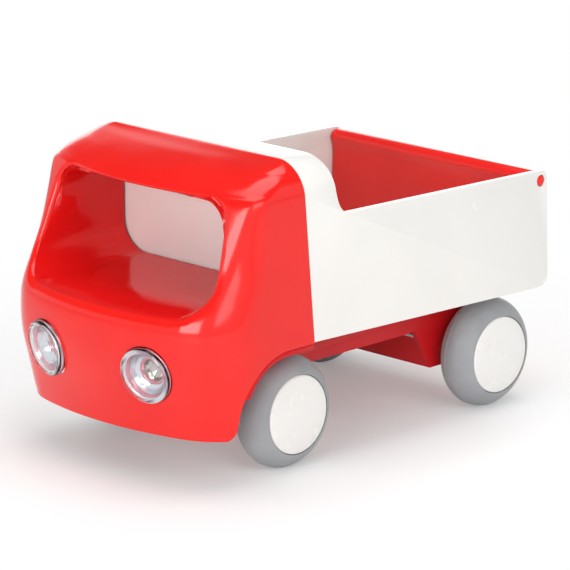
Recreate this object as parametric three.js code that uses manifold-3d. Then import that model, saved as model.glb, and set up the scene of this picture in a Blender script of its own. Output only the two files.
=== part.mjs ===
// Toy dump truck: a moulded cab and chassis, a tipping bed with a top-hung tailgate, and two wheelsets.
// Millimetres. +Z is up, -Y is the truck's nose, X runs across. The origin is on the ground at the
// centre of the truck's length and width.

import * as THREE from "three";
import { mergeVertices } from "three/addons/utils/BufferGeometryUtils.js";
import Module from "manifold-3d";

const wasm = await Module();
wasm.setup();

// ---- driving dimensions ----

const LENGTH = 253; // nose to tail
const NOSE_OVERHANG = 76.3; // nose to front axle
const WHEELBASE = 149;
const ROOF_Z = 156;
const WALL = 3; // moulded wall of the cab, the chassis and the bed
const GAP = 0.3; // between pieces that meet without moving
const RUNNING_GAP = 0.3; // around a shaft that turns

const BODY_HALF_WIDTH = 73.9; // at RAIL_Z
const BODY_LEAN = 0.033; // each side wall leans out this much per millimetre down
const RAIL_Z = 126;
const ROOF_CORNER_R = 17; // along each side of the roof

const SEAM_FRONT_Y = 3.2; // cab back face behind the front axle, at SEAM_Z
const SEAM_Z = 67.8;
const SEAM_LEAN = 0.058; // the cab back face leans forward this much per millimetre up

const CAB_BOTTOM_Z = 25;
const NOSE_ARC_R = 185; // front face in plan
const LOW_CORNER_R = 33; // front corner in plan, below the windscreen
const HIGH_CORNER_R = 11; // front corner in plan, at the lintel
const ROOF_CORNER_PLAN_R = 19; // front corner in plan, at the roof
const LOW_TUCK = 3.3; // the skirt draws in this much each side towards the bottom
const TUCK_Z = 44; // where it starts
const ARCH_TOP_Z = 65.5;
const ARCH_REACH = 45.2; // front axle to the arch's front edge
const ARCH_LIP_R = 6; // rounding where the arch meets the skirt's lower edge
const ARCH_LINER = 2.4;
const SILL_Z = 86;
const LINTEL_Z = 141;
const LINTEL_HALF_WIDTH = 56.5;
const SILL_HALF_WIDTH = 64;
const WINDSCREEN_LOW_R = 15;
const WINDSCREEN_HIGH_R = 12;
const TUNNEL_WALL = 2.4;
const TUNNEL_BACK_HALF_WIDTH = 52.5; // at the top of the tunnel's back end
const TUNNEL_BACK_SPREAD = 2.5; // its floor is wider by this much each side
const TUNNEL_RISE = 5; // the tunnel's floor rises this much towards the back
const TUNNEL_DROP = 4; // and its ceiling comes down this much

const WHEEL_R = 28.5;
const TYRE_WIDTH = 21;
const TRACK = 118; // between the wheels' middle planes
const HUB_FACE_R = 20;
const HUB_CORE_R = 23;
const AXLE_R = 2.5;

const CHASSIS_HALF_WIDTH = 46;
const CHASSIS_BOTTOM_Z = 44.4;
const CHASSIS_SETBACK = 26.5; // nose to the chassis's front edge
const AXLE_BLOCK_BOTTOM_Z = 23;

const BED_BOTTOM_FRONT_Z = 66.2; // side wall's lower edge at the seam
const BED_RAIL_FRONT_Z = 127.1; // side wall's upper edge, carried forward to the seam
const BED_SLOPE = 0.0247; // both edges fall this much per millimetre rearward
const ARCH_DEPTH = 17; // the raised front of the bed, along Y
const TIP_PIVOT_INSET = 17; // tail to bed hinge
const TIP_PIVOT_Z = 57;
const HINGE_PIN_R = 2;

const GATE_PIVOT_INSET = 4.6; // tail to tailgate hinge
const GATE_PIVOT_Z = 117.5;
const GATE_ROLL_R = 4.5;
const GATE_PIN_R = 2.8;
const GATE_THICKNESS = 3;
const GATE_PANEL_SET = 1; // the panel's middle lies this far ahead of the pivot

const LAMP_R = 14.4;
const LAMP_X = 35.2;
const LAMP_Z = 56.8;
const LAMP_PROUD = 2.3; // the lens stands this far out of the shell
const LAMP_YAW = 10.5; // degrees, outward
const LAMP_PITCH = 10; // degrees, downward

// ---- places worked out from them ----

const NOSE_Y = -LENGTH / 2;
const TAIL_Y = LENGTH / 2;
const CHASSIS_FRONT_Y = NOSE_Y + CHASSIS_SETBACK;
const FRONT_AXLE_Y = NOSE_Y + NOSE_OVERHANG;
const REAR_AXLE_Y = FRONT_AXLE_Y + WHEELBASE;
const TIP_PIVOT_Y = TAIL_Y - TIP_PIVOT_INSET;
const GATE_PIVOT_Y = TAIL_Y - GATE_PIVOT_INSET;
const SEAM_Y = FRONT_AXLE_Y + SEAM_FRONT_Y;
const seamY = (z) => SEAM_Y - SEAM_LEAN * (z - SEAM_Z);
const halfWidth = (z) => BODY_HALF_WIDTH + BODY_LEAN * (RAIL_Z - z);
const bedBottomZ = (y) => BED_BOTTOM_FRONT_Z - BED_SLOPE * (y - SEAM_Y);
const railZ = (y) => BED_RAIL_FRONT_Z - BED_SLOPE * (y - SEAM_Y);

// ---- geometry helpers ----

// The closed solid of a three.js geometry, whose shared vertices are merged first.
function solid(geometry) {
  const bare = geometry.clone();
  bare.deleteAttribute("normal");
  bare.deleteAttribute("uv");
  const merged = mergeVertices(bare, 1e-4);
  return new wasm.Manifold(
    new wasm.Mesh({
      numProp: 3,
      vertProperties: new Float32Array(merged.attributes.position.array),
      triVerts: new Uint32Array(merged.index.array),
    }),
  );
}

function geometryOf(manifold) {
  const mesh = manifold.getMesh();
  const geometry = new THREE.BufferGeometry();
  geometry.setAttribute("position", new THREE.BufferAttribute(mesh.vertProperties, 3));
  geometry.setIndex(new THREE.BufferAttribute(mesh.triVerts, 1));
  geometry.computeVertexNormals();
  return geometry;
}

const cut = (body, ...tools) => tools.reduce((rest, tool) => rest.subtract(tool), body);
const join = (...bodies) => bodies.reduce((whole, body) => whole.add(body));

function box(x0, x1, y0, y1, z0, z1) {
  const geometry = new THREE.BoxGeometry(x1 - x0, y1 - y0, z1 - z0);
  geometry.translate((x0 + x1) / 2, (y0 + y1) / 2, (z0 + z1) / 2);
  return solid(geometry);
}

// A shape drawn in (y, z), extruded across X between x0 and x1.
function acrossX(shape, x0, x1, curveSegments = 12) {
  const geometry = new THREE.ExtrudeGeometry(shape, { depth: x1 - x0, bevelEnabled: false, curveSegments });
  geometry.applyMatrix4(new THREE.Matrix4().set(0, 0, 1, x0, 1, 0, 0, 0, 0, 1, 0, 0, 0, 0, 0, 1));
  return solid(geometry);
}

// A shape drawn in (x, z), extruded along Y between y0 and y1.
function alongY(shape, y0, y1, curveSegments = 8) {
  const geometry = new THREE.ExtrudeGeometry(shape, { depth: y1 - y0, bevelEnabled: false, curveSegments });
  geometry.applyMatrix4(new THREE.Matrix4().set(1, 0, 0, 0, 0, 0, -1, y1, 0, 1, 0, 0, 0, 0, 0, 1));
  return solid(geometry);
}

function cylinder(axis, r, length, at, segments = 24) {
  const geometry = new THREE.CylinderGeometry(r, r, length, segments);
  if (axis === "x") geometry.rotateZ(-Math.PI / 2);
  if (axis === "z") geometry.rotateX(Math.PI / 2);
  geometry.translate(...at);
  return solid(geometry);
}

// A ring or disc about the X axis from a profile of (radius, x) points.
function latheX(points, segments = 32) {
  const geometry = new THREE.LatheGeometry(points.map(([r, x]) => new THREE.Vector2(r, x)), segments);
  geometry.rotateZ(-Math.PI / 2);
  return geometry;
}

// A closed solid that passes through one ring of points at each level: a cylinder whose rings are moved.
function loft(rings) {
  const levels = rings.length;
  const count = rings[0].length;
  const geometry = new THREE.CylinderGeometry(1, 1, 1, count, levels - 1);
  const position = geometry.attributes.position;
  for (let i = 0; i < position.count; i += 1) {
    const [x, y, z] = [position.getX(i), position.getY(i), position.getZ(i)];
    const ring = rings[Math.round((y + 0.5) * (levels - 1))];
    if (Math.hypot(x, z) < 0.5) {
      const sum = ring.reduce((total, point) => total.add(point), new THREE.Vector3());
      position.setXYZ(i, ...sum.divideScalar(count).toArray());
    } else {
      const step = Math.round((Math.atan2(x, z) / (2 * Math.PI)) * count);
      position.setXYZ(i, ...ring[(step + count) % count].toArray());
    }
  }
  return solid(geometry);
}

function polygon(points) {
  return new THREE.Shape(points.map(([a, b]) => new THREE.Vector2(a, b)));
}

// ---- body sections ----

// Front face at the middle of the truck, as (z, y measured back from the nose).
const NOSE_PROFILE = [
  [CAB_BOTTOM_Z, 9.1],
  [40, 6.3],
  [58, 1.3],
  [72, 0],
  [SILL_Z - 2, 1.3],
  [96, 8.2],
  [110, 16.3],
  [RAIL_Z, 22.8],
  [LINTEL_Z - 1, 27.9],
  [144, 32.3],
  [147.5, 37.5],
  [150.8, 45.5],
  [153.4, 56],
  [155, 66],
  [ROOF_Z, 72],
];

// The front face's y at height z, by a smooth curve through the profile points.
const noseCurve = new THREE.SplineCurve(NOSE_PROFILE.map(([z, back]) => new THREE.Vector2(z, back)));
const noseSamples = noseCurve.getPoints(240);
function noseY(z) {
  const i = Math.max(1, noseSamples.findIndex((point) => point.x >= z));
  const [a, b] = [noseSamples[i - 1], noseSamples[i]];
  return NOSE_Y + Math.max(0, a.y + ((b.y - a.y) * (z - a.x)) / (b.x - a.x));
}

// How far the roof corner draws the side in at height z.
function roofInset(z) {
  const rise = z - (ROOF_Z - ROOF_CORNER_R);
  if (rise <= 0) return 0;
  return ROOF_CORNER_R - Math.sqrt(Math.max(0, ROOF_CORNER_R ** 2 - rise ** 2));
}

const CORNER_LIMIT = 0.6; // of the cab's length at that height, where the roof runs out short

// Plan outline of the cab at height z, `inset` inside its skin, reaching back to y = backY.
function cabRing(z, inset, backY) {
  const drawn = roofInset(z);
  const tuck = LOW_TUCK * (Math.max(0, TUCK_Z - z) / (TUCK_Z - CAB_BOTTOM_Z)) ** 2;
  const half = halfWidth(z) - drawn - tuck;
  const front = noseY(z);
  const glassBlend = Math.min(1, Math.max(0, (z - SILL_Z) / (LINTEL_Z - SILL_Z)));
  const roofBlend = Math.max(0, (z - LINTEL_Z) / (ROOF_Z - LINTEL_Z));
  const glassCorner = LOW_CORNER_R + (HIGH_CORNER_R - LOW_CORNER_R) * glassBlend;
  const wanted = glassCorner + (ROOF_CORNER_PLAN_R - HIGH_CORNER_R) * roofBlend;
  const corner = Math.min(wanted, CORNER_LIMIT * (seamY(z) - front));
  const cornerX = half - corner;
  const cornerY = front + NOSE_ARC_R - Math.sqrt((NOSE_ARC_R - corner) ** 2 - cornerX ** 2);
  const sweep = Math.atan2(cornerX, front + NOSE_ARC_R - cornerY);
  const side = [];
  for (let i = 0; i <= 6; i += 1) {
    const a = (sweep * i) / 6;
    const r = NOSE_ARC_R - inset;
    side.push([r * Math.sin(a), front + NOSE_ARC_R - r * Math.cos(a)]);
  }
  for (let i = 1; i <= 7; i += 1) {
    const a = sweep + ((Math.PI / 2 - sweep) * i) / 7;
    const r = Math.max(0.2, corner - inset);
    side.push([cornerX + r * Math.sin(a), cornerY - r * Math.cos(a)]);
  }
  side.push([half - inset, backY]);
  const points = side.map(([x, y]) => new THREE.Vector3(x, y, z));
  const mirrored = side.slice(1).reverse().map(([x, y]) => new THREE.Vector3(-x, y, z));
  return [...points, ...mirrored];
}

// The cab's heights that get a ring, closer together where the skin curves.
const CAB_LEVELS = [25, 33, 42, 51, 60, 68, 75, 82, 88, 95, 104, 115, 126, 134, 139];
const ROOF_STEPS = 7;
for (let i = 1; i <= ROOF_STEPS; i += 1) {
  CAB_LEVELS.push(ROOF_Z - ROOF_CORNER_R + ROOF_CORNER_R * Math.sin((Math.PI / 2) * (i / ROOF_STEPS)));
}

// The cab's solid form, `inset` inside its skin. `extend` carries it past its bottom and back faces.
function cabForm(inset, extend) {
  const rings = CAB_LEVELS.map((level, i) => {
    const ring = cabRing(level, inset, seamY(level) + extend);
    const lowered = i === 0 ? -extend : 0;
    const roofShare = Math.max(0, level - ROOF_Z + ROOF_CORNER_R) / ROOF_CORNER_R;
    const sunk = -inset * roofShare;
    return ring.map((point) => new THREE.Vector3(point.x, point.y, point.z + lowered + sunk));
  });
  return loft(rings);
}

// Cross section shared by the cab's back and the bed, `inset` inside the skin, down to z = bottom.
function bodySection(inset, bottom) {
  const shape = new THREE.Shape();
  const r = ROOF_CORNER_R - inset;
  const cornerZ = ROOF_Z - ROOF_CORNER_R;
  const top = halfWidth(cornerZ);
  shape.moveTo(-(halfWidth(bottom) - inset), bottom);
  shape.lineTo(halfWidth(bottom) - inset, bottom);
  shape.lineTo(top - inset, cornerZ);
  shape.absarc(top - ROOF_CORNER_R, cornerZ, r, 0, Math.PI / 2, false);
  shape.absarc(-(top - ROOF_CORNER_R), cornerZ, r, Math.PI / 2, Math.PI, false);
  shape.closePath();
  return shape;
}

// Front view of the tunnel at y, `grow` outside its clear width, `back` of the way to its narrower back end.
function tunnelRing(y, grow, back) {
  const mix = (front, rear) => front + (rear - front) * back;
  const low = SILL_Z + TUNNEL_RISE * back;
  const high = LINTEL_Z - TUNNEL_DROP * back;
  const topHalf = mix(LINTEL_HALF_WIDTH, TUNNEL_BACK_HALF_WIDTH);
  const lowHalf = mix(SILL_HALF_WIDTH, TUNNEL_BACK_HALF_WIDTH + TUNNEL_BACK_SPREAD);
  const lean = Math.atan2(lowHalf - topHalf, high - low);
  const lowSweep = Math.PI / 2 + lean;
  const highSweep = Math.PI / 2 - lean;
  const lowR = WINDSCREEN_LOW_R;
  const highR = WINDSCREEN_HIGH_R;
  const corners = [
    [lowHalf - lowR * Math.tan(lowSweep / 2), low + lowR, lowR, -Math.PI / 2, lowSweep],
    [topHalf - highR * Math.tan(highSweep / 2), high - highR, highR, lean, highSweep],
  ];
  const right = [];
  for (const [x, z, radius, start, sweep] of corners) {
    const r = radius + grow;
    for (let i = 0; i <= 6; i += 1) {
      const a = start + (sweep * i) / 6;
      right.push(new THREE.Vector3(x + r * Math.cos(a), y, z + r * Math.sin(a)));
    }
  }
  const left = right.map((point) => new THREE.Vector3(-point.x, y, point.z)).reverse();
  return [...right, ...left];
}

const TUNNEL_FRONT_Y = NOSE_Y - 5;
const TUNNEL_BACK_Y = SEAM_Y + 5;
function tunnelForm(grow) {
  return loft([tunnelRing(TUNNEL_BACK_Y, grow, 1), tunnelRing(TUNNEL_FRONT_Y, grow, 0)]);
}

// Wheel arch in side view, from the cab's back face round to its lower front corner, `inside` the edge.
function archShape(inside) {
  const top = ARCH_TOP_Z - inside;
  const shape = new THREE.Shape();
  shape.moveTo(SEAM_Y + 30, 0);
  shape.lineTo(SEAM_Y + 30, top);
  shape.lineTo(FRONT_AXLE_Y - 14, top);
  const edge = FRONT_AXLE_Y - ARCH_REACH + inside;
  shape.bezierCurveTo(FRONT_AXLE_Y - 27, top, edge, 56, edge, 36);
  shape.lineTo(edge, CAB_BOTTOM_Z + ARCH_LIP_R);
  shape.quadraticCurveTo(edge, CAB_BOTTOM_Z, edge - ARCH_LIP_R, CAB_BOTTOM_Z - 1);
  shape.lineTo(edge - ARCH_LIP_R, 0);
  shape.closePath();
  return shape;
}

// ---- lamps ----

const LAMP_LENS_THICKNESS = 3;
const LAMP_REFLECTOR_DEPTH = 14;

// Places a geometry that was turned about +Z so that +Z looks out of the lamp on side s.
function lampMatrix(s) {
  const out = new THREE.Vector3(
    s * Math.sin(THREE.MathUtils.degToRad(LAMP_YAW)),
    -Math.cos(THREE.MathUtils.degToRad(LAMP_YAW)) * Math.cos(THREE.MathUtils.degToRad(LAMP_PITCH)),
    -Math.sin(THREE.MathUtils.degToRad(LAMP_PITCH)),
  ).normalize();
  const across = new THREE.Vector3(0, 0, 1).cross(out).normalize();
  const up = out.clone().cross(across);
  const sag = NOSE_ARC_R - Math.sqrt(NOSE_ARC_R ** 2 - LAMP_X ** 2);
  const at = new THREE.Vector3(s * LAMP_X, noseY(LAMP_Z) + sag, LAMP_Z);
  at.addScaledVector(out, LAMP_PROUD);
  return new THREE.Matrix4().makeBasis(across, up, out).setPosition(at);
}

function turned(points, segments) {
  const geometry = new THREE.LatheGeometry(points.map(([r, z]) => new THREE.Vector2(r, z)), segments);
  return geometry.rotateX(Math.PI / 2);
}

function lampHole(s) {
  const geometry = new THREE.CylinderGeometry(LAMP_R + GAP, LAMP_R + GAP, 40, 28);
  geometry.rotateX(Math.PI / 2);
  return solid(geometry.applyMatrix4(lampMatrix(s)));
}

// ---- materials ----

function plastic(color, roughness) {
  return new THREE.MeshStandardMaterial({ color, roughness, metalness: 0 });
}
const red = plastic(0xe8352c, 0.22);
const white = plastic(0xf2efe9, 0.3);
const grey = plastic(0x8f9296, 0.6);
const clear = plastic(0xdfe6ea, 0.05);
const chrome = new THREE.MeshStandardMaterial({ color: 0xdedede, roughness: 0.08, metalness: 1 });
const steel = new THREE.MeshStandardMaterial({ color: 0xb4b6b8, roughness: 0.35, metalness: 1 });

const truck = new THREE.Group();
function add(name, geometry, material, parent = truck) {
  const mesh = new THREE.Mesh(geometry, material);
  mesh.name = name;
  parent.add(mesh);
  return mesh;
}

// ---- cab shell: front, sides and roof in one moulding, open at the back and below ----

function cabShell() {
  const skin = cut(cabForm(0, 0), cabForm(WALL, 20));
  const windscreen = tunnelForm(0).intersect(box(-80, 80, NOSE_Y - 10, FRONT_AXLE_Y - 20, 0, 200));
  const arches = [-1, 1].map((s) => acrossX(archShape(0), ...(s > 0 ? [50, 90] : [-90, -50])));
  return cut(skin, windscreen, ...arches, lampHole(1), lampHole(-1));
}
add("cab_shell", geometryOf(cabShell()), red);

// ---- cab liner: the hand tunnel behind the windscreen, with the bulkhead that closes the cab's back ----

const BULKHEAD = 3;
const CAB_SCREW_X = 28;
const CAB_SCREW_YS = [FRONT_AXLE_Y - 42, FRONT_AXLE_Y - 10];
const CHASSIS_TOP_Z = 62;
const SCREW_R = 1.5;
const SCREW_HEAD_R = 3;
const SCREW_BITE = 10; // into the boss
const SCREW_HOLE_DEPTH = 11.9;
const BOSS_R = 4;

// A blind hole for a screw's shank, upward from z.
function screwHole(x, y, z) {
  const start = z - 0.1;
  return cylinder("z", SCREW_R + GAP, SCREW_HOLE_DEPTH, [x, y, start + SCREW_HOLE_DEPTH / 2], 12);
}

function cabLiner() {
  const inside = cabForm(WALL + GAP, 0);
  const tube = cut(tunnelForm(TUNNEL_WALL), tunnelForm(0));
  const plateOutline = polygon([
    [seamY(0) - BULKHEAD - GAP, 0],
    [seamY(0) - GAP, 0],
    [seamY(200) - GAP, 200],
    [seamY(200) - BULKHEAD - GAP, 200],
  ]);
  const slab = acrossX(plateOutline, -100, 100);
  const plateLowZ = CHASSIS_TOP_Z + GAP + ARCH_LINER + 2;
  const above = box(-100, 100, NOSE_Y, SEAM_Y + 20, plateLowZ, 200);
  const plate = cut(slab.intersect(above), tunnelForm(0));
  const front = acrossX(
    polygon([
      [NOSE_Y - 10, 0],
      [seamY(0) - GAP, 0],
      [seamY(200) - GAP, 200],
      [NOSE_Y - 10, 200],
    ]),
    -100,
    100,
  );
  let liner = join(tube, plate).intersect(inside).intersect(front);
  for (const y of CAB_SCREW_YS) {
    for (const x of [-CAB_SCREW_X, CAB_SCREW_X]) {
      const foot = CHASSIS_TOP_Z + GAP;
      const height = SILL_Z + TUNNEL_RISE - foot;
      const boss = cylinder("z", BOSS_R, height, [x, y, foot + height / 2], 16);
      liner = cut(join(liner, cut(boss, tunnelForm(0))), screwHole(x, y, foot));
    }
  }
  return liner;
}
add("cab_liner", geometryOf(cabLiner()), red);

// ---- chassis: an inverted tray with a block at each axle, wheel arch liners and the bed hinge's ears ----

const BLOCK_WALL_LEAN = 0.537; // the rear block's front face, per millimetre down
const REAR_BLOCK_TOP_Y = REAR_AXLE_Y - 40.6;
const FRONT_BLOCK_HALF = 20;
const BED_CLEARANCE = 0.4;
const EAR_R = bedBottomZ(TIP_PIVOT_Y) - BED_CLEARANCE - TIP_PIVOT_Z;
const CHASSIS_BACK_Y = TIP_PIVOT_Y + EAR_R;
const EAR_NOTCH_Y = TIP_PIVOT_Y - 16;
const chassisTopZ = (y) => Math.min(CHASSIS_TOP_Z, bedBottomZ(y) - BED_CLEARANCE);

function chassisOutline() {
  const shape = new THREE.Shape();
  shape.moveTo(CHASSIS_FRONT_Y, CHASSIS_BOTTOM_Z);
  shape.lineTo(FRONT_AXLE_Y - FRONT_BLOCK_HALF - 4, CHASSIS_BOTTOM_Z);
  shape.lineTo(FRONT_AXLE_Y - FRONT_BLOCK_HALF, AXLE_BLOCK_BOTTOM_Z);
  shape.lineTo(FRONT_AXLE_Y + FRONT_BLOCK_HALF, AXLE_BLOCK_BOTTOM_Z);
  shape.lineTo(FRONT_AXLE_Y + FRONT_BLOCK_HALF + 4, CHASSIS_BOTTOM_Z);
  shape.lineTo(REAR_BLOCK_TOP_Y, CHASSIS_BOTTOM_Z);
  const blockRun = BLOCK_WALL_LEAN * (CHASSIS_BOTTOM_Z - AXLE_BLOCK_BOTTOM_Z);
  shape.lineTo(REAR_BLOCK_TOP_Y + blockRun, AXLE_BLOCK_BOTTOM_Z);
  shape.lineTo(CHASSIS_BACK_Y, AXLE_BLOCK_BOTTOM_Z);
  shape.lineTo(CHASSIS_BACK_Y, TIP_PIVOT_Z);
  shape.absarc(TIP_PIVOT_Y, TIP_PIVOT_Z, EAR_R, 0, Math.PI / 2, false);
  shape.lineTo(TIP_PIVOT_Y - 20, chassisTopZ(TIP_PIVOT_Y - 20));
  shape.lineTo(CHASSIS_FRONT_Y, CHASSIS_TOP_Z);
  shape.closePath();
  return shape;
}

// The hollow under the tray, open below.
function chassisHollow() {
  const low = 10;
  const lean = BLOCK_WALL_LEAN;
  const rakeY = (z) => REAR_BLOCK_TOP_Y + lean * (CHASSIS_BOTTOM_Z - z) + WALL * Math.hypot(1, lean);
  const open = CHASSIS_BOTTOM_Z - 4;
  return polygon([
    [CHASSIS_FRONT_Y + WALL, open],
    [FRONT_AXLE_Y - FRONT_BLOCK_HALF - 2 + WALL, open],
    [FRONT_AXLE_Y - FRONT_BLOCK_HALF + WALL, low],
    [FRONT_AXLE_Y + FRONT_BLOCK_HALF - WALL, low],
    [FRONT_AXLE_Y + FRONT_BLOCK_HALF + 2 - WALL, open],
    [rakeY(open), open],
    [rakeY(low), low],
    [CHASSIS_BACK_Y - WALL, low],
    [CHASSIS_BACK_Y - WALL, chassisTopZ(CHASSIS_BACK_Y) - WALL],
    [CHASSIS_FRONT_Y + WALL, CHASSIS_TOP_Z - WALL],
  ]);
}

const COVER_THICKNESS = 2.5;
const COVER_TOP_Z = WHEEL_R - AXLE_R - GAP;
const COVER_SCREW_X = 24;
const COVER_SCREW_OFFSET = 11; // behind the front axle, and in front of the rear one
const COVER_SCREWS = [
  ["front", FRONT_AXLE_Y + COVER_SCREW_OFFSET],
  ["rear", REAR_AXLE_Y - COVER_SCREW_OFFSET],
];

function chassis() {
  const half = CHASSIS_HALF_WIDTH;
  let body = cut(
    acrossX(chassisOutline(), -half, half, 8),
    acrossX(chassisHollow(), -(half - WALL), half - WALL),
    box(WALL - half, half - WALL, EAR_NOTCH_Y, CHASSIS_BACK_Y + 5, CHASSIS_BOTTOM_Z, CHASSIS_TOP_Z + 5),
    cylinder("x", HINGE_PIN_R + GAP, 3 * half, [0, TIP_PIVOT_Y, TIP_PIVOT_Z], 20),
  );
  const linerForm = cabForm(0, 0).intersect(box(-90, 90, NOSE_Y, SEAM_Y - GAP, 0, 100));
  for (const s of [-1, 1]) {
    const ring = cut(
      acrossX(archShape(GAP), ...(s > 0 ? [half - 1, 90] : [-90, 1 - half])),
      acrossX(archShape(GAP + ARCH_LINER), -95, 95),
    );
    const above = box(-95, 95, NOSE_Y, SEAM_Y + 40, CHASSIS_BOTTOM_Z + 2, 90);
    body = join(body, ring.intersect(above).intersect(linerForm));
  }
  for (const y of [FRONT_AXLE_Y, REAR_AXLE_Y]) {
    const slotR = AXLE_R + RUNNING_GAP;
    const round = cylinder("x", slotR, 3 * half, [0, y, WHEEL_R], 20);
    body = cut(body, round, box(-2 * half, 2 * half, y - slotR, y + slotR, 0, WHEEL_R));
  }
  for (const [, y] of COVER_SCREWS) {
    for (const x of [-COVER_SCREW_X, COVER_SCREW_X]) {
      const top = CHASSIS_TOP_Z - 2;
      const low = COVER_TOP_Z + GAP;
      body = join(body, cylinder("z", BOSS_R, top - low, [x, y, (top + low) / 2], 16));
      body = cut(body, screwHole(x, y, low));
    }
  }
  for (const y of CAB_SCREW_YS) {
    for (const x of [-CAB_SCREW_X, CAB_SCREW_X]) {
      body = cut(body, cylinder("z", SCREW_R + GAP, 20, [x, y, CHASSIS_TOP_Z], 12));
    }
  }
  return body;
}
add("chassis", geometryOf(chassis()), red);

// ---- axle covers: plates let into the axle blocks from below, which keep the axles in their slots ----

function axleCover(y0, y1, screwY) {
  const half = CHASSIS_HALF_WIDTH - WALL - GAP;
  const plate = box(-half, half, y0, y1, COVER_TOP_Z - COVER_THICKNESS, COVER_TOP_Z);
  const holes = [-COVER_SCREW_X, COVER_SCREW_X].map((x) =>
    cylinder("z", SCREW_R + GAP, 20, [x, screwY, COVER_TOP_Z], 12),
  );
  return cut(plate, ...holes);
}
const frontInner = FRONT_BLOCK_HALF - WALL - GAP - 1;
const coverDrop = CHASSIS_BOTTOM_Z - COVER_TOP_Z + COVER_THICKNESS;
const rearInnerFront = REAR_BLOCK_TOP_Y + BLOCK_WALL_LEAN * coverDrop;
add(
  "front_axle_cover",
  geometryOf(axleCover(FRONT_AXLE_Y - frontInner, FRONT_AXLE_Y + frontInner, COVER_SCREWS[0][1])),
  red,
);
add(
  "rear_axle_cover",
  geometryOf(axleCover(rearInnerFront + WALL * 1.14 + GAP, CHASSIS_BACK_Y - WALL - GAP, COVER_SCREWS[1][1])),
  red,
);

// ---- dump bed: tray with a high arched front, sides that sweep down to the rails, and an open back ----

const SWEEP_DROP_Z = 149; // height where the sweep leaves the arch
const REAR_LOW_R = 8;
const REAR_HIGH_R = 5;
const FLOOR = 3;
const STOP_HEIGHT = 2; // of the ridge across the floor that the tailgate closes against
const STOP_DEPTH = 2;
const STOP_RAMP = 0.8; // its front face leans back by this much, so that a load slides over it
const FOOT_STRIP = 2; // each way, where the side walls meet the floor
const LUG_OUTER_X = CHASSIS_HALF_WIDTH - WALL - 0.5;
const LUG_WIDTH = 6;
const LUG_R = 5;

// Side view of the bed, with the sweep from the arch down to the rail.
function bedProfile() {
  const shape = new THREE.Shape();
  const front = (z) => seamY(z) + GAP;
  const low = bedBottomZ(TAIL_Y);
  const high = railZ(TAIL_Y);
  const sweepEnd = SEAM_Y + 27;
  shape.moveTo(front(bedBottomZ(SEAM_Y)), bedBottomZ(SEAM_Y));
  shape.lineTo(TAIL_Y - REAR_LOW_R, low);
  shape.quadraticCurveTo(TAIL_Y, low, TAIL_Y, low + REAR_LOW_R);
  shape.lineTo(TAIL_Y, high - REAR_HIGH_R);
  shape.quadraticCurveTo(TAIL_Y, high, TAIL_Y - REAR_HIGH_R, high);
  shape.lineTo(sweepEnd, railZ(sweepEnd));
  shape.bezierCurveTo(sweepEnd - 9, railZ(sweepEnd), sweepEnd - 9, 138, sweepEnd - 11.5, SWEEP_DROP_Z);
  shape.lineTo(SEAM_Y + ARCH_DEPTH - 4, ROOF_Z + 1);
  shape.lineTo(front(ROOF_Z + 1), ROOF_Z + 1);
  shape.closePath();
  return shape;
}

// The room inside the bed: everything above the floor and behind the front wall.
function bedRoom() {
  const back = TAIL_Y + 10;
  const front = (z) => seamY(z) + GAP + WALL;
  return polygon([
    [front(bedBottomZ(SEAM_Y) + FLOOR), bedBottomZ(SEAM_Y) + FLOOR],
    [back, bedBottomZ(back) + FLOOR],
    [back, 200],
    [front(200), 200],
  ]);
}

// A sloped strip along the foot of the side wall on side s, which follows the floor rearward to y = end.
function footStrip(s, end) {
  const start = SEAM_Y + GAP + WALL / 2;
  const floorZ = bedBottomZ(start) + FLOOR;
  const foot = halfWidth(floorZ) - WALL;
  const root = WALL / 3; // the strip is sunk this far into the wall and the floor
  const shape = polygon([
    [s * (foot - FOOT_STRIP), -root],
    [s * (foot + root), -root],
    [s * (foot + root), FOOT_STRIP + root],
    [s * (foot - FOOT_STRIP), 0],
  ]);
  const along = end - start;
  const geometry = new THREE.ExtrudeGeometry(shape, { depth: along, bevelEnabled: false });
  const floorAtEnd = floorZ - BED_SLOPE * along;
  const shear = new THREE.Matrix4().set(1, 0, 0, 0, 0, 0, -1, end, 0, 1, BED_SLOPE, floorAtEnd, 0, 0, 0, 1);
  geometry.applyMatrix4(shear);
  return solid(geometry);
}

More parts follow.
